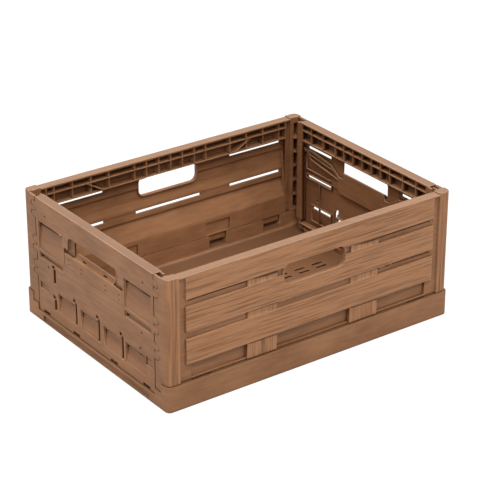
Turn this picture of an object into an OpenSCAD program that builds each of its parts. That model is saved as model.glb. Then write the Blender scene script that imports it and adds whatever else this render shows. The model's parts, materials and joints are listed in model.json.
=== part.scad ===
/* [Crate] */
// Length over the base, along X
crate_l = 400; // [360:1:600]
// Width over the base, along Y
crate_w = 300; // [280:1:400]
// Height from the ground to the top of the corner posts
crate_h = 160; // [150:1:220]
// Radius of the base's corners, seen from above
base_r = 6; // [3:0.5:10]
// How far the walls stand in from the edge of the base
wall_inset = 1.5; // [0.5:0.1:2.5]
// Depth of a wall from its outer face to its inner face
wall_t = 12; // [11.5:0.1:13]
// Thickness of the stiffening ribs
rib_t = 1.6; // [1.2:0.1:2.2]

/* [Base] */
// Height of the base along its long sides
curb_h = 31; // [30:0.5:36]
// Depth of the long curbs, measured inward from the edge
curb_t = 14; // [13.6:0.1:16]
// Height of the base's rail under a short wall
rail_h = 12.5; // [11.5:0.1:13]
// Thickness of the rail under a short wall
rail_t = 4.5; // [4:0.1:4.6]
// Height of the step that carries a corner flange
step_h = 20; // [18:0.5:22]
// Level of the floor's upper face
floor_top = 7; // [6:0.1:7.4]
// Thickness of the floor
floor_t = 2.5; // [2:0.1:3.5]
// Length of a vent in the floor
vent_l = 16; // [12:1:18]
// Width of a vent in the floor
vent_w = 3.5; // [2:0.5:4]
// Spacing of the vents along the crate
vent_pitch_x = 27; // [24:1:40]
// Distance between the two vents of a pair
vent_pair = 9; // [7:0.5:12]
// Spacing of the pairs across the crate
vent_pitch_y = 62; // [50:1:70]
// Height of the channel along the foot of each short side
foot_channel_h = 6.5; // [4:0.5:7]
// Depth of that channel
foot_channel_d = 2; // [1:0.1:2.4]

/* [Long walls] */
// Height of a slat
slat_h = 31; // [28:0.5:33]
// Distance from one slat to the next
slat_pitch = 39.3; // [38:0.1:40]
// Number of slats
slat_n = 3; // [2:1:3]
// Thickness of a slat
slat_t = 3; // [2.6:0.1:3.4]
// Depth of the gaps between the slats, seen from outside
gap_d = 2.8; // [2:0.1:2.8]
// Thickness of the strips that close the gaps
strip_t = 2.2; // [2:0.1:3]
// Height of the slit at the top of the upper gap
slit_h = 2.8; // [2:0.1:4]
// Height of the slits at the top of the gaps below it
low_slit_h = 4.2; // [2:0.1:5]
// Depth of the panels between the battens under the last slat
foot_panel_d = 6; // [4:0.1:7]
// Width of a batten behind the gaps
batten_w = 41; // [30:1:44]
// Distance of a batten from the middle of the wall
batten_x = 72; // [68:1:80]
// Width of a corner post on the long side
post_w = 16.5; // [15:0.5:18]
// Radius of a corner post
post_r = 6.5; // [4:0.5:7]
// Width of the sunk strip between a post and the slats
side_strip_w = 8; // [6:0.5:10]
// How far that strip is sunk
side_strip_d = 2.8; // [0.5:0.1:2.8]
// How far the posts stand above the rim
post_rise = 1.2; // [0.4:0.1:2]

/* [Hand holes] */
// Width of a hand hole
hand_w = 85; // [70:1:95]
// Height of a hand hole
hand_h = 25; // [22:0.5:27]
// Distance from the rim down to a hand hole
hand_drop = 26; // [25:0.5:28]
// Radius of a hand hole's corners
hand_r = 8; // [4:0.5:11]
// Thickness of the collar around a long wall's hand hole
collar_t = 1.8; // [1.6:0.1:3]
// Depth of that collar
collar_d = 5; // [5:0.5:11]

/* [Short walls] */
// Thickness of a short wall's skin, without its raised boards
short_skin_t = 2; // [1.6:0.1:2.2]
// How far the boards stand out from the panels between them
board_t = 1.4; // [0.8:0.1:1.4]
// Depth of a tilted panel at its upper edge
louvre_d = 3.4; // [2.4:0.1:3.4]
// Height of the slit above a tilted panel
short_slit_h = 4; // [2:0.1:5]
// Width of a hooked slot
hook_slot_w = 5.5; // [3:0.5:6]
// Distance from a short wall's end to the inner face of the long walls
corner_channel = 14; // [13:0.5:16]
// How far the teeth reach past the end of a short wall
tooth_l = 9; // [6:0.5:10]
// Height of a tooth
tooth_h = 8; // [6:0.5:9]
// Thickness of the skin that wraps the corner, which the teeth pass through
flange_t = 3; // [2.6:0.1:3.1]
// Radius of the hinge pins
pin_r = 2.2; // [1.8:0.1:2.4]
// Wall of plastic around a hinge pin
knuckle_t = 1.8; // [1.5:0.1:2]
// Height of a short wall's hinge line
short_hinge_z = 13; // [12.8:0.1:14]
// Height of a long wall's hinge line
long_hinge_z = 24.5; // [23:0.5:25]
// Width of a hinge gap in a short wall
hinge_gap_w = 22; // [18:1:26]
// Width of a hinge socket in a long curb
socket_w = 26; // [22:1:30]

/* [Release bars] */
// How far a release bar rises
bar_lift = 6; // [4:0.5:6.5]
// Half of the width of a bar's outer plate
bar_half = 61; // [56:1:62]
// Height of a bar's outer plate
bar_h = 18; // [14:0.5:20]
// Thickness of a bar's plates and arms
bar_t = 2.2; // [1.8:0.1:2.4]
// Height of the grip above the outer plate
grip_h = 5.5; // [4:0.5:6.5]

/* [Clearances] */
// Gap between a wall and what it stands on or beside
seat_gap = 0.4; // [0.3:0.05:0.6]
// Gap around a tooth in its notch
tooth_gap = 0.7; // [0.4:0.05:0.8]
// Gap around a hinge pin in its knuckle
pin_gap = 0.15; // [0.1:0.05:0.25]
// Gap around a release bar's sliding faces
slide_gap = 0.4; // [0.3:0.05:0.5]

/* [Hidden] */
$fn = 48;
plastic = [0.58, 0.44, 0.33];
plastic_bar = [0.60, 0.46, 0.35];
eps = 0.01;

half_l = crate_l / 2;
half_w = crate_w / 2;
rim_z = crate_h - post_rise;
floor_under = floor_top - floor_t;
vent_margin_x = 30;
vent_margin_y = 22;

// Outer and inner faces of the walls
long_y0 = half_w - wall_inset;
long_y1 = long_y0 - wall_t;
short_x0 = half_l - wall_inset;
short_x1 = short_x0 - wall_t;
curb_y1 = half_w - curb_t;

// Levels of the slats, counted from the top
top_slat_z = crate_h - slat_h + 1.5;
long_z0 = curb_h + seat_gap;
slat_x = short_x0 - post_w - side_strip_w;
strip_lap = 2.5;
function slat_z(i) = top_slat_z - i * slat_pitch;

// Hand hole levels
hand_z1 = crate_h - hand_drop;
hand_z0 = hand_z1 - hand_h;
hand_z = (hand_z0 + hand_z1) / 2;

// Rib lattice under the rim
rim_t = 2.2;
shelf_z = [hand_z1 + 0.3, hand_z1 + 14];
long_rib_x = [0, 17.3, 35, 52, 88.5, 113.5, 139, 164];
short_rib_y = [0, 17.5, 35, 52, 76, 100];

// Hinges
short_hinge_x = short_x0 - 8;
long_hinge_y = long_y0 - 7;
bore_r = pin_r + pin_gap;
knuckle_r = bore_r + knuckle_t;
cheek_t = 2.4;
cheek_r = pin_r + 1.4;
short_hinge_y = [-106, -40, 40, 106];
hook_w = 12;
long_hinge_x = [69, 153];
lug_t = 6.5;
pin_end = 3;

// Short wall outline
short_half = long_y1 - corner_channel;
short_z0 = rail_h + seat_gap;
short_skin = short_skin_t + board_t;
tongue_x0 = short_x0 - flange_t - seat_gap;
tongue_half = short_half + tooth_l - 1;
tongue_z0 = step_h + 5;
flange_edge = short_half + 2 * tooth_gap;
tooth_z = [144, 132, 100, 88, 68, 57];
hook_y = [85, 40, -9, -58];
hook_z = [26, 52];
high_hook_z = [61, 77];
through_dot = [27.5 - short_half, 57];
low_dot = [short_half - 24.5, 77];
dot_r = 1.8;
foot_recesses = [
    [4.5 - short_half, 16.5 - short_half, 10],
    [short_half - 22.5, short_half - 4.5, 8]
];
stiffener_y = short_half - 34.5;
foot_notch_w = 14;
foot_notch_h = 3.5;
end_flange_t = 2;
end_flange_in = 5;
end_flange_out = 5.5;

// Release bar, measured as depth behind the short wall's outer face
web_d = short_skin;
web_t = 2.2;
outer_d = slide_gap;
inner_d = web_d + web_t + slide_gap;
tongue_t = inner_d - slide_gap - flange_t - seat_gap;
web_top = hand_z0 + 1;
plate_z1 = web_top + 1;
plate_z0 = plate_z1 - bar_h;
grip_z = plate_z1 + grip_h;
inner_half = 50;
inner_z0 = plate_z0 - 6;
grip_half = hand_w / 2 - 2.5;
window_half = bar_half + slide_gap;
hand_out_half = hand_w / 2 + 10;
tip_y = long_y1 - 3;
tip_z = [web_top + 8, web_top + 14];
arm_w = 3.4;
leaf_t = 2;
pair_y = [bar_half - 36, bar_half - 8];
pair_z = [plate_z0 + 5, plate_z0 + 11];
pair_r = 1.1;
grip_slot_y = 22;
grip_slot_w = 8;

// Middle lines of a bar's arm and of its two leaf springs, as [y, z]
arm_path = [
    [inner_half - 3, web_top - 4],
    [inner_half + 15, web_top + 8],
    [short_half - 20, web_top + 13.5],
    [short_half - 0.5, tip_z[0] + 3]
];
leaf_springs = [
    [[inner_half - 2, web_top - 6], [short_half - 18, web_top + 2]],
    [[inner_half + 10, web_top + 3], [short_half - 12, web_top + 9]],
    [[short_half - 18, web_top + 2], [short_half - 12, web_top + 9]]
];
function sided(p, s) = [s * p[0], p[1]];

// Windows in a short wall's skin, as [y0, y1, z0, z1], with a tilted panel in each
window_y0 = window_half + 5;
window_y1 = short_half - 6.5;
window_drop = [1.7, 2.7, 2.9];
band_h = 8;
louvre_t = 1.8;
louvre_foot_d = 0.6;
louvre_frame_d = inner_d - slide_gap - board_t;
side_windows = [
    for (s = [-1, 1]) [s * window_y0, s * window_y1, slat_z(1) + 5, slat_z(0) - window_drop[0]],
    for (s = [-1, 1]) [s * window_y0, s * window_y1, slat_z(1) - band_h + 1, slat_z(1) - window_drop[1]]
];
low_window_z = [hook_z[0] + 2, slat_z(2) - window_drop[2]];
low_window_w = 37;
end_window = [18.5 - short_half, 56.5 - short_half];
low_windows = [
    for (i = [1:3])
        let (y0 = hook_y[i] + hook_slot_w / 2 + rib_t)
            [y0, hook_y[i] + low_window_w, low_window_z[0], low_window_z[1]],
    [end_window[0], end_window[1], low_window_z[0], low_window_z[1]]
];
windows = concat(side_windows, low_windows);

// Windows between the battens under the last slat of a long wall, as [x0, x1]
foot_windows = [
    [-slat_x + 8, -batten_x - batten_w / 2],
    [-batten_x + batten_w / 2, batten_x - batten_w / 2],
    [batten_x + batten_w / 2, slat_x - 8]
];
foot_beam_h = rib_t + 0.6;
foot_panel_t = 2;
foot_skin_t = 2.4;
foot_slot_l = 44;
pad_w = 36;
pad_h = 16;
pad_d = 1.4;
swell_d = 2.5;

// Rectangle with round corners, centred
module round_rect(w, h, r) {
    square([w - 2 * r, h], center = true);
    square([w, h - 2 * r], center = true);
    for (sx = [-1, 1], sy = [-1, 1])
        translate([sx * (w / 2 - r), sy * (h / 2 - r)])
            circle(r);
}

// Rectangle from one corner to the opposite one
module rect(x0, y0, x1, y1) {
    translate([min(x0, x1), min(y0, y1)])
        square([abs(x1 - x0), abs(y1 - y0)]);
}

// Straight strip from one point to another
module strip(p, q, w) {
    run = q - p;
    translate(p)
        rotate(atan2(run[1], run[0]))
            translate([0, -w / 2])
                square([norm(run), w]);
}

// The same strip with round ends
module strap(p, q, w) {
    strip(p, q, w);
    for (end = [p, q])
        translate(end)
            circle(w / 2);
}

// Plate with its outline in the XZ plane, whose front face is at y = -y0
module plate_xz(y0, t) {
    translate([0, -y0 + t, 0])
        rotate([90, 0, 0])
            linear_extrude(height = t)
                children();
}

// Plate with its outline in the YZ plane, from x = -x0 inward
module plate_yz(x0, t) {
    translate([-x0, 0, 0])
        rotate([90, 0, 90])
            linear_extrude(height = t)
                children();
}

// Bar along the slats of a long wall, from its section as [depth behind the wall's outer face, z]
module wall_profile(section) {
    translate([-slat_x, -long_y0, 0])
        rotate([90, 0, 90])
            linear_extrude(height = 2 * slat_x)
                polygon(section);
}

// Both ends of a wall, from the shape of one end
module both_x() {
    children();
    mirror([1, 0, 0])
        children();
}

module both_y() {
    children();
    mirror([0, 1, 0])
        children();
}

// The floor: one plate with vents in pairs, one beside the other, and the grid of ribs under it
module vent_rows() {
    nx = floor((half_l - vent_margin_x) / vent_pitch_x);
    ny = floor((half_w - vent_margin_y) / vent_pitch_y + 0.5);
    for (i = [-nx:nx - 1], j = [1:ny], s = [-1, 1], t = [-1, 1])
        translate([(i + 0.5) * vent_pitch_x, s * (j - 0.5) * vent_pitch_y + t * vent_pair / 2])
            square([vent_l, vent_w], center = true);
}

module floor_plate() {
    translate([0, 0, floor_under])
        linear_extrude(height = floor_t)
            difference() {
                square([crate_l - 2 * rail_t, crate_w - 2 * curb_t + 2], center = true);
                vent_rows();
            }
}

module floor_ribs() {
    nx = floor((half_l - vent_margin_y) / vent_pitch_x);
    ny = floor((half_w - vent_margin_y) / (vent_pitch_y / 2));
    linear_extrude(height = floor_under + eps) {
        for (i = [-nx:nx])
            translate([i * vent_pitch_x, 0])
                square([rib_t, crate_w - 2 * curb_t + 2], center = true);
        for (j = [-ny:ny])
            translate([0, j * vent_pitch_y / 2])
                square([crate_l - 2 * rail_t, rib_t], center = true);
    }
}

// Sockets that the lugs of a long wall stand in, with bores for its pins
module long_sockets() {
    for (s = [-1, 1], x = long_hinge_x)
        translate([s * x, 0, 0]) {
            translate([-socket_w / 2, -long_y0 + 2, long_hinge_z - knuckle_r - 6])
                cube([socket_w, curb_t, curb_h]);
            translate([0, -long_hinge_y, long_hinge_z])
                rotate([0, 90, 0])
                    cylinder(r = bore_r, h = socket_w + 2 * (pin_end + 0.4), center = true);
        }
}

// Hollows cut into a curb from below, between the sockets
module curb_hollows() {
    wall = 2.8;
    cells = [
        [0, 2 * (long_hinge_x[0] - socket_w / 2 - 9)],
        [(long_hinge_x[0] + long_hinge_x[1]) / 2, long_hinge_x[1] - long_hinge_x[0] - socket_w - 18]
    ];
    for (s = [-1, 1], c = cells)
        translate([s * c[0] - c[1] / 2, -half_w + wall, -eps])
            cube([c[1], curb_t - 2 * wall, curb_h - wall]);
}

module long_curb() {
    difference() {
        translate([-half_l, -half_w, 0])
            cube([crate_l, curb_t, curb_h]);
        long_sockets();
        curb_hollows();
    }
}

// Rail under a short wall, with a channel along its foot and a step at each corner
module short_rail() {
    channel_half = short_half - 10;
    difference() {
        plate_yz(half_l, rail_t) {
            rect(-half_w, 0, half_w, rail_h);
            for (s = [-1, 1])
                rect(s * flange_edge, 0, s * half_w, step_h);
        }
        translate([-half_l - eps, -channel_half, 2])
            cube([foot_channel_d, 2 * channel_half, foot_channel_h]);
    }
}

// Open hook that a short wall's hinge pin snaps into
module hinge_hook() {
    mouth = pin_r * 1.5;
    translate([-short_hinge_x, hook_w / 2, short_hinge_z])
        rotate([90, 0, 0])
            linear_extrude(height = hook_w)
                difference() {
                    union() {
                        circle(knuckle_r);
                        rect(-knuckle_r + 1, floor_under - short_hinge_z + 0.5, knuckle_r - 1, 0);
                    }
                    circle(bore_r);
                    rotate(50)
                        translate([0, -mouth / 2])
                            square([knuckle_r + 1, mouth]);
                }
}

module base() {
    color(plastic)
        intersection() {
            union() {
                floor_plate();
                floor_ribs();
                both_y()
                    long_curb();
                both_x() {
                    short_rail();
                    for (y = short_hinge_y)
                        translate([0, y, 0])
                            hinge_hook();
                }
            }
            linear_extrude(height = curb_h)
                round_rect(crate_l, crate_w, base_r);
        }
}

// Slats of a long wall, proud of the strips behind the gaps between them
module slats() {
    plate_xz(long_y0, slat_t)
        difference() {
            for (i = [0:slat_n - 1])
                rect(-slat_x, slat_z(i), slat_x, i == 0 ? rim_z - rim_t : slat_z(i) + slat_h);
            translate([0, hand_z])
                round_rect(hand_w, hand_h, hand_r);
        }
}

// Openings at the top of each gap, on either side of the battens
module slits() {
    out = slat_x - 4;
    edge = batten_x + batten_w / 2;
    near = batten_x - batten_w / 2;
    for (i = [0:slat_n - 2], s = [-1, 1]) {
        h = i == 0 ? slit_h : low_slit_h;
        rect(s * edge, slat_z(i) - h, s * out, slat_z(i) + eps);
        if (i > 0)
            rect(-near + 4, slat_z(i) - h, near - 4, slat_z(i) + eps);
    }
}

module gap_strips() {
    plate_xz(long_y0 - gap_d, strip_t)
        difference() {
            union() {
                for (i = [0:slat_n - 2])
                    rect(-slat_x, slat_z(i + 1) + slat_h - strip_lap, slat_x, slat_z(i) + strip_lap);
                rect(-slat_x, long_z0, slat_x, slat_z(slat_n - 1) + strip_lap);
            }
            slits();
            foot_window_rects();
            translate([0, hand_z])
                round_rect(hand_w, hand_h, hand_r);
        }
}

// Deep panels between the battens, each at the bottom of a frame
module foot_window_rects(grow = 0) {
    for (w = foot_windows)
        rect(w[0] - grow, long_z0 + foot_beam_h - grow, w[1] + grow, slat_z(slat_n - 1) + grow);
}

module foot_panels() {
    plate_xz(long_y0 - gap_d, foot_panel_d + foot_panel_t - gap_d)
        difference() {
            foot_window_rects(rib_t);
            foot_window_rects();
        }
    plate_xz(long_y0 - foot_panel_d, foot_panel_t)
        foot_window_rects(rib_t / 2);
}

// Skin over the inner side of the foot, sloping back to the last slat, with a sunk pad over two of the lugs
module foot_skin() {
    z1 = slat_z(slat_n - 1) + 4;
    z2 = z1 + 20;
    difference() {
        wall_profile([
            [wall_t, long_z0],
            [wall_t, z1],
            [slat_t - eps, z2],
            [slat_t - eps, z2 - 1.4 * foot_skin_t],
            [wall_t - foot_skin_t, z1 - foot_skin_t / 2],
            [wall_t - foot_skin_t, long_z0]
        ]);
        for (s = [-1, 1])
            translate([s * long_hinge_x[0] - pad_w / 2, -long_y0 + wall_t - pad_d, long_z0 + 2])
                cube([pad_w, wall_t, pad_h]);
    }
}

// Swelling along the foot of a slat, on its inner side
module slat_swells() {
    for (i = [1:1:slat_n - 2])
        wall_profile([
            [slat_t - eps, slat_z(i)],
            [slat_t + swell_d, slat_z(i)],
            [slat_t + swell_d, slat_z(i) + 4],
            [slat_t - eps, slat_z(i) + 12]
        ]);
}

// Beam along the foot of a wall, with slots into the hollow above it
module foot_beam() {
    d = foot_panel_d + foot_panel_t;
    difference() {
        translate([-slat_x, -long_y0 + gap_d, long_z0])
            cube([2 * slat_x, wall_t - gap_d, foot_beam_h]);
        for (x = [-1, 0, 1] * (long_hinge_x[0] + long_hinge_x[1]) / 2)
            translate([x - foot_slot_l / 2, -long_y0 + d, long_z0 - eps])
                cube([foot_slot_l, wall_t - foot_skin_t - d, foot_beam_h + 2 * eps]);
    }
}

// Battens that cross the gaps, a little behind the slats
module battens() {
    sunk = 1;
    plate_xz(long_y0 - sunk, slat_t)
        for (s = [-1, 1])
            translate([s * batten_x - batten_w / 2, 0]) {
                for (i = [0:slat_n - 2])
                    rect(0, slat_z(i + 1) + slat_h, batten_w, slat_z(i));
                rect(0, long_z0, batten_w, slat_z(slat_n - 1));
            }
}

// Round-cornered collar through the full depth of a long wall
module hand_collar() {
    plate_xz(long_y0, collar_d)
        translate([0, hand_z])
            difference() {
                round_rect(hand_w + 2 * collar_t, hand_h + 2 * collar_t, hand_r + collar_t);
                round_rect(hand_w, hand_h, hand_r);
            }
}

// Shelves and upright ribs on the inner face, under the rim
module long_lattice() {
    d = wall_t - slat_t + eps;
    plate_xz(long_y0 - slat_t + eps, d)
        difference() {
            union() {
                for (z = shelf_z)
                    rect(-slat_x, z, slat_x, z + rib_t);
                for (s = [-1, 1], x = long_rib_x)
                    if (x < slat_x - rib_t)
                        rect(s * x - rib_t / 2, shelf_z[0], s * x + rib_t / 2, rim_z - 1);
                for (s = [-1, 1])
                    strip([s * 120, shelf_z[1] + rib_t / 2], [s * 97, shelf_z[0] + rib_t / 2], rib_t);
            }
            translate([0, hand_z])
                round_rect(hand_w + collar_t, hand_h + collar_t, hand_r);
        }
}

// Outline of a corner post seen from above, with shallow flutes down its face
module post_outline() {
    flute_r = 1.1;
    difference() {
        translate([-short_x0, -long_y0]) {
            translate([post_r, 0])
                square([post_w - post_r, wall_t]);
            translate([0, post_r])
                square([post_w, wall_t - post_r]);
            translate([post_r, post_r])
                circle(post_r);
        }
        for (x = [post_r + 0.5, post_r + 5])
            translate([-short_x0 + x, -long_y0 - flute_r * 0.55])
                circle(flute_r, $fn = 24);
    }
}

// Corner post with a column of pockets that face the inside of the crate
module corner_post() {
    pocket_h = 17;
    pocket_pitch = 20;
    pocket_n = floor((crate_h - long_z0 - 6) / pocket_pitch);
    difference() {
        translate([0, 0, long_z0])
            linear_extrude(height = crate_h - long_z0)
                post_outline();
        for (i = [0:pocket_n - 1])
            translate([-short_x0 + flange_t, -long_y0 + flange_t, long_z0 + 4 + i * pocket_pitch])
                cube([wall_t - flange_t - 1, wall_t, pocket_h]);
    }
}

// Skin that wraps the corner onto the short side, notched for the teeth
module corner_flange() {
    plate_yz(short_x0, flange_t)
        difference() {
            union() {
                rect(-curb_y1 + seat_gap, step_h + seat_gap, -flange_edge, rim_z);
                rect(-long_y1 - 2, long_z0, -curb_y1 + 2 * seat_gap, rim_z);
            }
            for (z = tooth_z) {
                rect(-short_half - tooth_l + tooth_h / 2, z - tooth_gap, -flange_edge + eps, z + tooth_h + tooth_gap);
                translate([-short_half - tooth_l + tooth_h / 2, z + tooth_h / 2])
                    circle(tooth_h / 2 + tooth_gap);
            }
        }
}

// Shelves beside the post, above and below the tip of a release bar
module latch_shelves() {
    for (z = [tip_z[0] - 5, tip_z[1] + bar_lift + 2])
        translate([-short_x0 + flange_t - eps, -long_y1 - eps, z])
            cube([wall_t - flange_t, long_y1 - short_half - tooth_l - 1, rib_t]);
}

// Lug with its pins, moulded under a long wall
module long_lug() {
    lug_w = socket_w - 2 * seat_gap;
    translate([-lug_w / 2, 0, 0])
        rotate([90, 0, 90])
            linear_extrude(height = lug_w) {
                translate([-long_hinge_y, long_hinge_z])
                    circle(lug_t / 2);
                rect(-long_hinge_y - lug_t / 2, long_hinge_z, -long_hinge_y + lug_t / 2, long_z0 + 1);
            }
    translate([0, -long_hinge_y, long_hinge_z])
        rotate([0, 90, 0])
            cylinder(r = pin_r, h = socket_w + 2 * pin_end, center = true);
}

module long_wall() {
    slats();
    gap_strips();
    foot_panels();
    battens();
    hand_collar();
    long_lattice();
    foot_beam();
    foot_skin();
    slat_swells();
    // Rim
    translate([-slat_x - side_strip_w, -long_y0, rim_z - rim_t])
        cube([2 * (slat_x + side_strip_w), wall_t, rim_t]);
    both_x() {
        corner_post();
        corner_flange();
        latch_shelves();
        plate_xz(long_y0 - side_strip_d, slat_t + 1)
            rect(-slat_x - side_strip_w - eps, long_z0, -slat_x + eps, rim_z);
        translate([-slat_x - rib_t, -long_y0 + slat_t, long_z0])
            cube([rib_t, wall_t - slat_t, rim_z - long_z0]);
        for (x = long_hinge_x)
            translate([x, 0, 0])
                long_lug();
    }
}

module long_wall_front() {
    color(plastic)
        long_wall();
}

module long_wall_back() {
    color(plastic)
        rotate([0, 0, 180])
            long_wall();
}

// Teeth at one end of a short wall, with round tips
module teeth() {
    for (s = [-1, 1], z = tooth_z) {
        end = short_half + tooth_l - tooth_h / 2;
        rect(s * (short_half - eps), z, s * end, z + tooth_h);
        translate([s * end, z + tooth_h / 2])
            circle(tooth_h / 2);
    }
}

// Upright slot that bends over at its top
module hook_slot(y, z0, z1) {
    w = hook_slot_w;
    r = 5;
    translate([y, 0]) {
        rect(-w / 2, z0, w / 2, z1);
        translate([r, z1])
            intersection() {
                difference() {
                    circle(r + w / 2);
                    circle(r - w / 2);
                }
                translate([-r - w, 0])
                    square([r + w, r + w]);
            }
    }
}

// What passes right through a short wall's skin, apart from the hand hole
module short_slots() {
    for (y = hook_y)
        hook_slot(y, hook_z[0], y == hook_y[0] ? hook_z[0] + 12 : hook_z[1]);
    hook_slot(hook_y[0], high_hook_z[0], high_hook_z[1]);
    translate(through_dot)
        circle(dot_r);
    for (y = short_hinge_y)
        rect(y - foot_notch_w / 2, short_z0 - eps, y + foot_notch_w / 2, short_z0 + foot_notch_h);
    window_rects();
}

module window_rects(grow = 0) {
    for (w = windows)
        rect(min(w[0], w[1]) - grow, w[2] - grow, max(w[0], w[1]) + grow, w[3] + grow);
}

// Sunk panels between the boards of a short wall
module short_panels() {
    for (s = [-1, 1]) {
        rect(s * (window_y0 - rib_t), slat_z(1) + 4, s * (window_y1 + 1), slat_z(0));
        rect(s * (window_y0 - rib_t), slat_z(1) - band_h, s * (window_y1 + 1), slat_z(1));
        translate([s * low_dot[0], low_dot[1]])
            circle(dot_r);
        translate([s * (low_dot[0] + 4), hand_z1 + 6])
            circle(dot_r - 0.3);
    }
    for (w = low_windows)
        rect(w[0] - rib_t, w[2] - 1, w[1] + 1, slat_z(2));
    for (p = foot_recesses)
        rect(p[0], slat_z(2) - p[2], p[1], slat_z(2));
}

// Tilted panels, each in a frame behind its window
module louvres() {
    plate_yz(short_x0 - board_t, louvre_frame_d)
        difference() {
            window_rects(rib_t);
            window_rects();
        }
    lap = rib_t / 2;
    for (w = windows) {
        y0 = min(w[0], w[1]) - lap;
        y1 = max(w[0], w[1]) + lap;
        z1 = w[3] - short_slit_h;
        if (z1 > w[2])
            translate([-short_x0, y1, 0])
                rotate([90, 0, 0])
                    linear_extrude(height = y1 - y0)
                        polygon([
                            [louvre_foot_d, w[2] - lap],
                            [louvre_d, z1],
                            [louvre_d + louvre_t, z1],
                            [louvre_foot_d + louvre_t, w[2] - lap]
                        ]);
    }
}

// Opening in the skin for the hand and for the bar's outer plate
module short_window() {
    mid = (plate_z1 + hand_z1) / 2;
    translate([0, mid])
        round_rect(2 * hand_out_half, hand_z1 - plate_z1, hand_r);
    rect(-hand_out_half, plate_z1 - eps, hand_out_half, mid);
    rect(-window_half, plate_z0 - slide_gap, window_half, plate_z1 + bar_lift + slide_gap);
}

module short_skin_plates() {
    plate_yz(short_x0, board_t + eps)
        difference() {
            rect(-short_half, short_z0, short_half, rim_z);
            short_window();
            short_slots();
            short_panels();
        }
    plate_yz(short_x0 - board_t, short_skin_t)
        difference() {
            rect(-short_half, short_z0, short_half, rim_z);
            short_window();
            short_slots();
        }
    plate_yz(short_x0 - 0.2, flange_t + seat_gap)
        teeth();
    plate_yz(tongue_x0, tongue_t)
        for (s = [-1, 1])
            rect(s * (short_half - 4), tongue_z0, s * tongue_half, rim_z - 3);
}

// Web behind the outer plate of the bar, with the hand hole above it
module bar_web() {
    half = window_half + 3;
    plate_yz(short_x0 - web_d + eps, web_t)
        difference() {
            rect(-half, plate_z0 - 3, half, shelf_z[0] + eps);
            translate([0, (web_top + hand_z1) / 2])
                round_rect(hand_w, hand_z1 - web_top, hand_r);
            rect(-hand_w / 2, web_top, hand_w / 2, web_top + hand_r);
        }
}

module short_ribs() {
    d = wall_t - short_skin + eps;
    notch_z1 = short_hinge_z + knuckle_r + 1.5;
    plate_yz(short_x0 - short_skin + eps, d)
        union() {
            for (z = shelf_z)
                rect(-short_half, z, short_half, z + rib_t);
            for (s = [-1, 1], y = short_rib_y)
                if (y < short_half - rib_t)
                    rect(s * y - rib_t / 2, shelf_z[0], s * y + rib_t / 2, rim_z - 1);
            rect(-short_half, notch_z1, short_half, notch_z1 + rib_t);
            for (s = [-1, 1]) {
                rect(s * short_half, short_z0, s * (short_half - rib_t), tip_z[0] - 3);
                rect(s * short_half, tip_z[1] + bar_lift + 2, s * (short_half - rib_t), rim_z - 1);
            }
        }
    // Flat flange down each end, flush with the inner face
    plate_yz(short_x1 + end_flange_t, end_flange_t)
        for (s = [-1, 1])
            rect(s * (short_half - end_flange_in), tongue_z0, s * (short_half + end_flange_out), rim_z - 1);
    plate_yz(short_x0 - short_skin + eps, 2.5)
        for (s = [-1, 1])
            rect(s * stiffener_y, notch_z1, s * (stiffener_y + rib_t), slat_z(1) - band_h);
    // Cheeks that carry the hinge pins
    for (y = short_hinge_y, s = [-1, 1])
        translate([0, y + s * (hinge_gap_w + cheek_t) / 2 + cheek_t / 2, 0])
            rotate([90, 0, 0])
                linear_extrude(height = cheek_t) {
                    translate([-short_hinge_x, short_hinge_z])
                        circle(cheek_r);
                    rect(-short_hinge_x - cheek_r, short_hinge_z, -short_x1, notch_z1 + eps);
                    rect(-short_x0 + short_skin - eps, short_z0, -short_hinge_x, notch_z1 + eps);
                }
}

module short_pins() {
    for (y = short_hinge_y)
        translate([-short_hinge_x, y, short_hinge_z])
            rotate([90, 0, 0])
                cylinder(r = pin_r, h = hinge_gap_w + cheek_t, center = true);
}

module short_wall() {
    short_skin_plates();
    louvres();
    bar_web();
    short_ribs();
    short_pins();
    translate([-short_x0, -short_half, rim_z - rim_t])
        cube([wall_t, 2 * short_half, rim_t]);
}

module short_wall_left() {
    color(plastic)
        short_wall();
}

module short_wall_right() {
    color(plastic)
        rotate([0, 0, 180])
            short_wall();
}

// Side view of the grip: a ramp from the outer plate up and over to the inner plate
module grip_section() {
    polygon([
        [outer_d, plate_z1 - 4],
        [outer_d, plate_z1],
        [inner_d, grip_z],
        [inner_d + bar_t, grip_z],
        [inner_d + bar_t, web_top - 4],
        [inner_d, web_top - 4],
        [inner_d, grip_z - bar_t - 1],
        [outer_d + bar_t, plate_z1 - 0.4],
        [outer_d + bar_t, plate_z1 - 4]
    ]);
}

module release_bar() {
    // Outer plate, with pairs of small holes
    plate_yz(short_x0 - outer_d, bar_t)
        difference() {
            rect(-bar_half, plate_z0, bar_half, plate_z1);
            for (s = [-1, 1], y = pair_y, z = pair_z)
                translate([s * y, z])
                    circle(pair_r);
        }
    // Grip
    difference() {
        translate([-short_x0, grip_half, 0])
            rotate([90, 0, 0])
                linear_extrude(height = 2 * grip_half)
                    grip_section();
        for (s = [-1, 1])
            translate([-short_x0 + outer_d + bar_t, s * grip_slot_y - grip_slot_w / 2, plate_z1 - 3])
                cube([1.6, grip_slot_w, grip_h + 5]);
    }
    // Inner plate with its arms, tips and leaf springs
    plate_yz(short_x0 - inner_d, bar_t) {
        rect(-inner_half, inner_z0, inner_half, web_top - 1);
        rect(-grip_half, web_top - 2, grip_half, grip_z - 1);
        for (s = [-1, 1]) {
            for (i = [0:len(arm_path) - 2])
                strap(sided(arm_path[i], s), sided(arm_path[i + 1], s), arm_w);
            rect(s * (short_half - 5), tip_z[0], s * tip_y, tip_z[1]);
            for (p = leaf_springs)
                strap(sided(p[0], s), sided(p[1], s), leaf_t);
        }
    }
}

module release_bar_left() {
    color(plastic_bar)
        release_bar();
}

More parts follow.
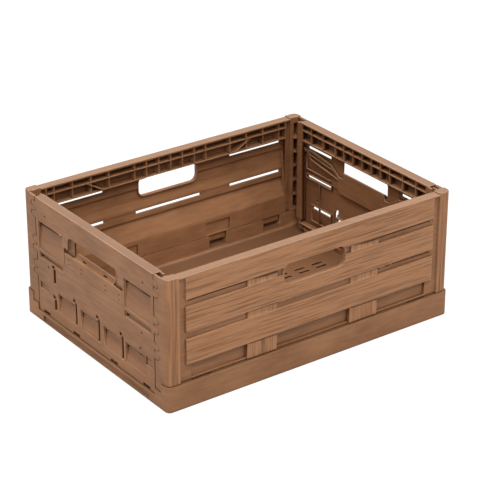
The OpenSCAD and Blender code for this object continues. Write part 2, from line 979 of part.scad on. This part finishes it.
module release_bar_right() {
    color(plastic_bar)
        rotate([0, 0, 180])
            release_bar();
}

base();
long_wall_front();
long_wall_back();
short_wall_left();
short_wall_right();
release_bar_left();
release_bar_right();
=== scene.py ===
import json
import math

import bmesh
import bpy
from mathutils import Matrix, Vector, noise

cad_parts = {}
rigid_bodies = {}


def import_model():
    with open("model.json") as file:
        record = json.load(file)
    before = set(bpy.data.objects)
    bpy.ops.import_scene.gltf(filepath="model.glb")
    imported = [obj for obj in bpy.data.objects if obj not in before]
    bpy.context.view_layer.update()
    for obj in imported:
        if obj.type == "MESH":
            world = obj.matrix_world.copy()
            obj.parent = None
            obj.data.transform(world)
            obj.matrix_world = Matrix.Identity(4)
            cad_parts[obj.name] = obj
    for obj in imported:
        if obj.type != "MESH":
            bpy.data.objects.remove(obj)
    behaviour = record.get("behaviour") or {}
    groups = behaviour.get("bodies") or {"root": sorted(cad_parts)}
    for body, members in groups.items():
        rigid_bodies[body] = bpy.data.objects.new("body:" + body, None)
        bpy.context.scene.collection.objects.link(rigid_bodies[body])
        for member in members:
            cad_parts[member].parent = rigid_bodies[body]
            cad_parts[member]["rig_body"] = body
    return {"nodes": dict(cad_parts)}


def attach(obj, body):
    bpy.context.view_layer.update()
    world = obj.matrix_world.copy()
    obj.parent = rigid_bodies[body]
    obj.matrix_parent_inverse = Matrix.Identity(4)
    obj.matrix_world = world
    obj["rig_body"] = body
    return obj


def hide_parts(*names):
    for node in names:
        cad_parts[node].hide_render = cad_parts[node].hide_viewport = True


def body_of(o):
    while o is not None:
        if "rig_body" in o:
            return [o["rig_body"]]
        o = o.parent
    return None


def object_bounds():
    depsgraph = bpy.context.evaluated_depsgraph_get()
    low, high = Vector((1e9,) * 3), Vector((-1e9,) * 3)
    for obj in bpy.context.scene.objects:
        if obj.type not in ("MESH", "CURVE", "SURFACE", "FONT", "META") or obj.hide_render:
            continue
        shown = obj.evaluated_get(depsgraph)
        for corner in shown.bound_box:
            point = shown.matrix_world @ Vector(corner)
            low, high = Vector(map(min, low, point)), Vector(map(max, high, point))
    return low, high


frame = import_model()
cad_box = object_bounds()
crate_low, crate_high = (Vector(corner) for corner in cad_box)
scene = bpy.context.scene
scene.view_settings.view_transform = "Standard"
MM = 0.001

# The camera stands in front of the crate and to its left, and looks down on it. Its lens is long, so the
# crate's far edges stay nearly as long as the near ones.
camera_azimuth = math.radians(35.93)
camera_elevation = math.radians(25.72)
focal_px = 1928
frame_px = 480
camera_data = bpy.data.cameras.new("camera")
sensor_mm = 36
camera_data.sensor_width = sensor_mm
camera_data.lens = focal_px / frame_px * sensor_mm
camera = bpy.data.objects.new("camera", camera_data)
camera.location = (-1.1922, -1.6514, 1.0759)
camera.rotation_euler = (math.pi / 2 - camera_elevation, 0, -camera_azimuth)
scene.collection.objects.link(camera)
scene.camera = camera


# The photographer's table: a pale floor that keeps the crate's soft shadow and is white to the camera
# elsewhere.
# Under the crate it has painted shade: its colour is near black and it gives no glow, where the camera looks
# through the vents.
class Field:
    """One output of a shader node: a value that varies over a surface, with arithmetic."""

    def __init__(self, tree, socket):
        self.tree = tree
        self.socket = socket

    def node(self, kind, settings=None, sockets=None, out=0):
        """A new node of that kind in the same tree. Its sockets are given by name or number."""
        made = self.tree.nodes.new("ShaderNode" + kind)
        for name, value in (settings or {}).items():
            setattr(made, name, value)
        for name, value in (sockets or {}).items():
            if isinstance(value, Field):
                self.tree.links.new(value.socket, made.inputs[name])
            else:
                made.inputs[name].default_value = value
        return Field(self.tree, made.outputs[out])

    def maths(self, operation, *values):
        """A Math node on the values given. This output is one of them only if it is named."""
        return self.node("Math", {"operation": operation}, dict(enumerate(values)))

    def __add__(self, other):
        return self.maths("ADD", self, other)

    def __sub__(self, other):
        return self.maths("SUBTRACT", self, other)

    def __rsub__(self, other):
        return self.maths("SUBTRACT", other, self)

    def __mul__(self, other):
        return self.maths("MULTIPLY", self, other)

    def __lt__(self, other):
        return self.maths("LESS_THAN", self, other)

    def __gt__(self, other):
        return self.maths("GREATER_THAN", self, other)

    def __abs__(self):
        return self.maths("ABSOLUTE", self)

    def rise(self, low, high):
        """0 up to low and 1 from high on, with a soft rise between."""
        return self.node(
            "MapRange",
            {"interpolation_type": "SMOOTHSTEP"},
            {"Value": self, "From Min": low, "From Max": high},
        )

    def mix(self, below, above):
        """A colour: below where this is 0, above where it is 1."""
        return self.node(
            "Mix",
            {"data_type": "RGBA"},
            {0: self, 6: below, 7: above},
            out=2,
        )

    def into(self, shader, name):
        self.tree.links.new(self.socket, shader.inputs[name])


def new_material(name):
    """A material, its shader, and Object coordinates as a vector and as three numbers."""
    material = bpy.data.materials.new(name)
    material.use_nodes = True
    tree = material.node_tree
    shader = tree.nodes["Principled BSDF"]
    place = Field(tree, tree.nodes.new("ShaderNodeTexCoord").outputs["Object"])
    axes = [place.node("SeparateXYZ", None, {0: place}, out=i) for i in range(3)]
    return material, shader, place, axes


table_size = 6
table_drop = 0.1 * MM
cover_margin = 4 * MM
table_grey = (0.4, 0.4, 0.4, 1)
under_crate_shade = (0.03, 0.03, 0.03, 1)
glow_strength = 1.15
glow_share = 0.8
table_mesh = bpy.data.meshes.new("table")
table_form = bmesh.new()
bmesh.ops.create_grid(table_form, x_segments=1, y_segments=1, size=table_size)
bmesh.ops.translate(table_form, verts=table_form.verts, vec=(0, 0, crate_low.z - table_drop))
table_form.to_mesh(table_mesh)
table_form.free()
table = bpy.data.objects.new("table", table_mesh)
scene.collection.objects.link(table)

table_material, table_shader, table_place, (table_x, table_y, _) = new_material("table")
table_mesh.materials.append(table_material)
table_shader.inputs["Roughness"].default_value = 0.9
table_shader.inputs["Specular IOR Level"].default_value = 0.1
# Painted shade: under the crate the floor is coloured near black, and its glow to the camera is left off
# there.
covered = (abs(table_x) < crate_high.x - cover_margin) * (abs(table_y) < crate_high.y - cover_margin)
covered.mix(table_grey, under_crate_shade).into(table_shader, "Base Color")
seen = table_place.node("LightPath", out=0) * (1 - covered)
glow = table_place.node("Emission", None, {"Color": (1, 1, 1, 1), "Strength": glow_strength})
lit_table = Field(table_place.tree, table_shader.outputs[0])
table_surface = table_place.node("MixShader", None, {0: seen * glow_share, 1: lit_table, 2: glow})
table_surface.into(table_place.tree.nodes["Material Output"], "Surface")

# The light tent: white all round, brighter overhead so that light reaches the inside of the crate, and one
# lamp high over the front left corner.
side_light = 0.27
top_light = 5.0
tent_turn = (0.45, 1.0)
lamp_place = Vector((-0.6, -1.3, 1.9))
lamp_aim = Vector((0, 0, 0.05))
lamp_width = 1.0
lamp_watts = 11
world = bpy.data.worlds.new("tent")
scene.world = world
world.use_nodes = True
tent = world.node_tree.nodes["Background"]
tent.inputs["Color"].default_value = (1, 1, 1, 1)
toward = Field(world.node_tree, world.node_tree.nodes.new("ShaderNodeTexCoord").outputs["Generated"])
upward = toward.node("SeparateXYZ", None, {0: toward}, out=2)
strength = upward.rise(*tent_turn) * (top_light - side_light) + side_light
to_camera = toward.node("LightPath", out=0)
(strength * (1 - to_camera) + to_camera).into(tent, "Strength")

lamp_data = bpy.data.lights.new("over_lamp", "AREA")
lamp_data.shape = "SQUARE"
lamp_data.size = lamp_width
lamp_data.energy = lamp_watts
lamp = bpy.data.objects.new("over_lamp", lamp_data)
lamp.location = lamp_place
lamp.rotation_euler = (lamp_aim - lamp_place).to_track_quat("-Z", "Y").to_euler()
scene.collection.objects.link(lamp)

# The base is one injection moulding in polypropylene, brown all through: a floor with vents, ribs and curbs.
# Its edges come out of the tool slightly round, and handling wears them paler; the material also paints a
# highlight on those that face up. Each moulding has its CAD part's shape with rounded outer edges, and a
# face attribute for that wear and painted highlight is 1 on those edges.
edge_width = 0.35 * MM
edge_segments = 2
join_distance = 0.02 * MM
flat_angle = math.radians(0.5)
sharp_angle = math.radians(40)
area_weight = 80
floor_low = 4.4 * MM
floor_high = 6.9 * MM
vent_field = (180 * MM, 130 * MM)
rim_low = 150 * MM
cranny_reach = 5 * MM
recess_turn = (0.3 * MM, 0.9 * MM)
recess_depth = 9 * MM
bump_depth = 0.25 * MM
bump_strength = 0.7
sheen = 0.22
vent_shade_share = 0.95
up_face_shade_share = 0.9
tray_wear_and_highlight = 0.15
recess_shade_share = 0.92
rim_dust_and_reflection = 0.7


def moulding(node_name, relief=None):
    """The dressed piece of a CAD node. relief, if given, works the form after its edges are rounded."""
    form = bmesh.new()
    form.from_mesh(frame["nodes"][node_name].data)
    wear_and_highlight = form.faces.layers.float.new("wear_and_highlight")
    bmesh.ops.remove_doubles(form, verts=form.verts, dist=join_distance)
    bmesh.ops.dissolve_limit(form, angle_limit=flat_angle, verts=form.verts, edges=form.edges)
    bmesh.ops.triangulate(form, faces=form.faces, quad_method="BEAUTY", ngon_method="BEAUTY")
    outer = [
        e for e in form.edges
        if len(e.link_faces) == 2 and e.calc_face_angle_signed(0) > sharp_angle
    ]
    rounded = bmesh.ops.bevel(
        form, geom=outer, offset=edge_width, offset_type="OFFSET", segments=edge_segments, profile=0.5,
        affect="EDGES", clamp_overlap=False, material=-1
    )
    for face in rounded["faces"]:
        face[wear_and_highlight] = 1
    if relief:
        relief(form)
    for face in form.faces:
        face.smooth = True
    mesh = bpy.data.meshes.new(node_name + "_moulding")
    form.to_mesh(mesh)
    form.free()
    mesh.set_sharp_from_angle(angle=sharp_angle)
    piece = bpy.data.objects.new(node_name + "_moulding", mesh)
    scene.collection.objects.link(piece)
    shading = piece.modifiers.new("flat_faces", "WEIGHTED_NORMAL")
    shading.keep_sharp = True
    shading.weight = area_weight
    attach(piece, body_of(frame["nodes"][node_name])[0])
    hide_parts(node_name)
    return piece


def crate_plastic(name, face, depth_axis, kind):
    """Brown polypropylene. face is the outermost plane of the part along depth_axis, 0 for X and 1 for Y.

    The base is a "tray", a long wall is "timber", and a short wall and its bar are "skin".
    """
    material, shader, place, axes = new_material(name)
    x, y, z = axes
    pale = (0.335, 0.160, 0.075, 1)
    deep = (0.165, 0.071, 0.029, 1)
    painted_shade = (0.070, 0.023, 0.008, 1)
    edge = (0.44, 0.29, 0.19, 1)
    dust_and_reflection = (0.145, 0.089, 0.057, 1)
    up_face_shade = (0.105, 0.046, 0.020, 1)
    facing = place.node("TexCoord", out=1)
    normals = [place.node("SeparateXYZ", None, {0: facing}, out=i) for i in range(3)]

    def texture(where, scale, detail, roughness, distortion=0.0):
        numbers = {"Scale": scale, "Detail": detail, "Roughness": roughness, "Distortion": distortion}
        return place.node("TexNoise", None, {"Vector": where, **numbers})

    cloud = texture(place, scale=11.0, detail=4.0, roughness=0.6)
    speck = texture(place, scale=700.0, detail=2.0, roughness=0.6)
    flow_place = place.node("Mapping", None, {"Vector": place, "Scale": (1.0, 1.0, 7.0)})
    flow = texture(flow_place, scale=34.0, detail=3.0, roughness=0.55)
    tone = cloud * 0.55 + flow * 0.35 + speck * 0.1
    height = speck * 0.25 + flow * 0.2
    depth = face - abs(axes[depth_axis])
    level = normals[2].rise(0.6, 0.95)
    rim = level * (z > rim_low)
    if kind == "timber":
        outside = (normals[1] * y).rise(0.05 * wall_face, 0.6 * wall_face)
        outside = place.maths("MAXIMUM", outside * (1 - depth.rise(*below_battens)), rim)
        post = abs(x).rise(post_edge - post_blend, post_edge)
        batten = abs(abs(x) - sum(batten_places) / 2) < (batten_places[1] - batten_places[0]) / 2
        batten = batten * (depth > batten_depth)
        upright = post.maths("MAXIMUM", post, batten)
        along = x * (1 - upright) + z * upright
        across = z * (1 - upright) + x * upright + y
        fibre_place = place.node("CombineXYZ", None, {0: along * 17.0, 1: across * 560.0, 2: y * 9.0})
        fibre = texture(fibre_place, scale=1.0, detail=3.0, roughness=0.65)
        vein_place = place.node("CombineXYZ", None, {0: along * 9.0, 1: across * 210.0, 2: y * 5.0})
        vein = texture(vein_place, scale=1.0, detail=4.0, roughness=0.6, distortion=0.6)
        smooth = place.maths("MAXIMUM", post, rim)
        engraved = place.node("Attribute", {"attribute_name": "grain"}, out=2)
        engraved = engraved * (1 - smooth) + smooth * plain_grain
        streak = fibre.rise(0.36, 0.60)
        engraved_share, streak_share, vein_share, wood_shift = 0.34, 0.36, 0.85, 0.18
        wood = engraved * engraved_share + streak * streak_share + vein * vein_share - wood_shift
        post_calm, post_lift = 0.35, 0.16
        wood = wood * (1 - post * post_calm) + post * post_lift
        tone = tone * (1 - outside * wood_share) + wood * outside * wood_share
        height = height * (1 - outside * 0.5) + (streak * 0.8 + vein * 0.8) * outside
    colour = tone.rise(0.22, 0.78).mix(deep, pale)
    # Painted shade: the colour darkens where the crate's own surfaces occlude, in crannies, seams and gaps.
    cranny = place.node("AmbientOcclusion", {"samples": 8}, {"Distance": cranny_reach}, out=1)
    colour = (1 - cranny.rise(0.12, 0.88)).mix(colour, painted_shade)
    # Edge wear and a painted highlight: the rounded edges turn paler, only where they face up.
    wear_and_highlight = place.node("Attribute", {"attribute_name": "wear_and_highlight"}, out=2) * normals[2].rise(0.1, 0.7)
    if kind == "tray":
        # Painted shade: the side walls of the floor's vents are coloured near black.
        vents = (1 - abs(normals[2]).rise(0.3, 0.7)) * (z > floor_low) * (z < floor_high)
        vents = vents * (abs(x) < vent_field[0]) * (abs(y) < vent_field[1])
        colour = (vents * vent_shade_share).mix(colour, painted_shade)
        # Painted shade: the faces of the base that face up are darkened.
        colour = (level * up_face_shade_share).mix(colour, up_face_shade)
        wear_and_highlight = wear_and_highlight * tray_wear_and_highlight
    else:
        # Painted shade: faces in recesses near the outer face are darkened; on a long wall those facing down,
        # under the slats, and the sides of the notches at its ends; on a short wall the sides of its openings
        # and seams.
        shaded = depth.rise(*recess_turn) * (depth < recess_depth)
        end_depth = end_face - abs(x)
        end_sides = (1 - abs(normals[0]).rise(0.3, 0.7)) * (1 - normals[2].rise(0.0, 0.5))
        if kind == "timber":
            notches = end_depth.rise(*recess_turn) * (end_depth < notch_depth) * (abs(y) < flange_reach)
            # Painted shade: up-facing ledge faces inside the recesses are darkened.
            shaded_ledges = depth.rise(*ledge_turn) * normals[2].rise(0.3, 0.7) * (z < rim_low)
            colour = (shaded_ledges * ledge_shade_share).mix(colour, deep)
            shaded = place.maths("MAXIMUM", shaded * (0 - normals[2]).rise(0.2, 0.6), notches * end_sides)
            wear_and_highlight = wear_and_highlight * timber_wear_and_highlight
        else:
            # Painted shade: the sunk panels of a short wall are darker, more so deeper in.
            sunk = depth.rise(*panel_turn) * (1 - depth.rise(*panel_end))
            colour = (sunk * (cloud * 0.25 + 0.14)).mix(colour, painted_shade)
            shaded = shaded * end_sides
        colour = (shaded * recess_shade_share).mix(colour, painted_shade)
        # Dust and a painted reflection: the top faces of the upper rims take a greyer tone.
        colour = (rim * rim_dust_and_reflection).mix(colour, dust_and_reflection)
    (wear_and_highlight * (cloud.rise(0.3, 0.7) * 0.4 + 0.4)).mix(colour, edge).into(shader, "Base Color")
    (cloud * 0.16 + speck * 0.1 + 0.36).into(shader, "Roughness")
    bump = {"Strength": bump_strength, "Distance": bump_depth, "Height": height}
    place.node("Bump", None, bump).into(shader, "Normal")
    shader.inputs["Specular IOR Level"].default_value = sheen
    return material


base = moulding("base")
base.data.materials.append(crate_plastic("base_plastic", crate_high.x, 0, "tray"))

# The long walls are mouldings that look like timber: three slats each, with battens and corner posts. The
# grain on their faces is relief in the mesh, along each board, with finer fibres in the material.
wall_face = crate_high.y - 1.5 * MM
end_face = crate_high.x - 1.5 * MM
slat_bottoms = [51.9 * MM, 91.2 * MM, 130.5 * MM]
board_margin = 1 * MM
batten_face = wall_face - 1 * MM
batten_depth = 0.6 * MM
below_battens = (1.6 * MM, 2.0 * MM)
ledge_turn = (1 * MM, 2 * MM)
ledge_shade_share = 0.75
notch_depth = 4 * MM
timber_wear_and_highlight = 0.6
plain_grain = 0.55
wood_share = 0.8
batten_places = (51.5 * MM, 92.5 * MM)
post_edge = 182 * MM
post_margin = 5 * MM
post_blend = 0.5 * MM
flange_reach = 135.4 * MM
face_match = 0.05 * MM
flat_normal = 0.999
cut_distance = 0.001 * MM
grain_step = 0.8 * MM
step_along = 5 * grain_step
grain_depth = 0.22 * MM


def grain(along, across, board):
    """Height of the timber grain, from 0 to 1: long wavy ridges, broad and fine, with short streaks."""
    ring_pitch = 1150
    broad_pitch = 420
    streak_pitch = 620
    bend = noise.noise(Vector((along * 9, across * 30, board * 3.7))) * 2.2
    bend += noise.noise(Vector((along * 30, across * 70, board * 5.1))) * 0.7
    rings = 0.5 + 0.5 * math.sin(across * ring_pitch + bend * 2.4 + board * 2)
    broad = 0.5 + 0.5 * math.sin(across * broad_pitch + bend * 3.1 + board)
    streak = noise.noise(Vector((along * 16, across * streak_pitch, board))) * 0.5 + 0.5
    return max(0.0, min(1.0, 0.34 * rings + 0.3 * broad + 0.42 * streak))


def face_y(face):
    return abs(face.calc_center_median().y)


def grain_relief(form):
    """Cuts the slats and battens finely and raises the grain."""
    def cut(faces, axis, step):
        low = min(v.co[axis] for f in faces for v in f.verts)
        high = max(v.co[axis] for f in faces for v in f.verts)
        normal = Vector([float(i == axis) for i in range(3)])
        for i in range(1, int((high - low) / step) + 1):
            place = Vector((0, 0, 0))
            place[axis] = low + i * step - step / 2
            edges = {e for f in faces for e in f.edges}
            verts = {v for f in faces for v in f.verts}
            done = bmesh.ops.bisect_plane(
                form, geom=[*faces, *edges, *verts], plane_co=place, plane_no=normal, dist=cut_distance
            )
            faces = [g for g in done["geom"] if isinstance(g, bmesh.types.BMFace)]
        return faces

    height = form.verts.layers.float.new("grain")
    flat = [
        f for f in form.faces
        if abs(f.normal.y) > flat_normal and f.normal.y * f.calc_center_median().y > 0
    ]
    slats = [
        f for f in flat
        if abs(face_y(f) - wall_face) < face_match
        and all(abs(v.co.x) < post_edge - post_margin for v in f.verts)
    ]
    battens = [f for f in flat if abs(face_y(f) - batten_face) < face_match]
    slats = cut(cut(slats, 2, grain_step), 0, step_along)
    battens = cut(cut(battens, 0, grain_step), 2, step_along)
    for faces, upright in ((slats, False), (battens, True)):
        for v in {v for f in faces for v in f.verts}:
            board = sum(v.co.z > z - board_margin for z in slat_bottoms) + 10 * (v.co.y > 0)
            along, across = (v.co.z, v.co.x) if upright else (v.co.x, v.co.z)
            v[height] = grain(along, across, board)
            v.co.y += math.copysign((v[height] - 0.5) * grain_depth, v.co.y)


timber_plastic = crate_plastic("timber_plastic", wall_face, 1, "timber")
for wall in ("long_wall_front", "long_wall_back"):
    piece = moulding(wall, grain_relief)
    piece.data.materials.append(timber_plastic)

# The short walls are mouldings of the same plastic without grain: their skins show only the even sheen of the
# tool and the faint streaks of the plastic's flow, and their sunk panels are darker with painted shade.
panel_turn = (0.5 * MM, 3.2 * MM)
panel_end = (8.5 * MM, 9.5 * MM)
end_plastic = crate_plastic("end_plastic", end_face, 0, "skin")
for part in ("short_wall_left", "short_wall_right"):
    piece = moulding(part)
    piece.data.materials.append(end_plastic)

# A release bar slides in each short wall, under the hand hole: one moulding with its grip, latch arms and
# leaf springs, in the same plastic as the short wall.
for bar in ("release_bar_left", "release_bar_right"):
    piece = moulding(bar)
    piece.data.materials.append(end_plastic)
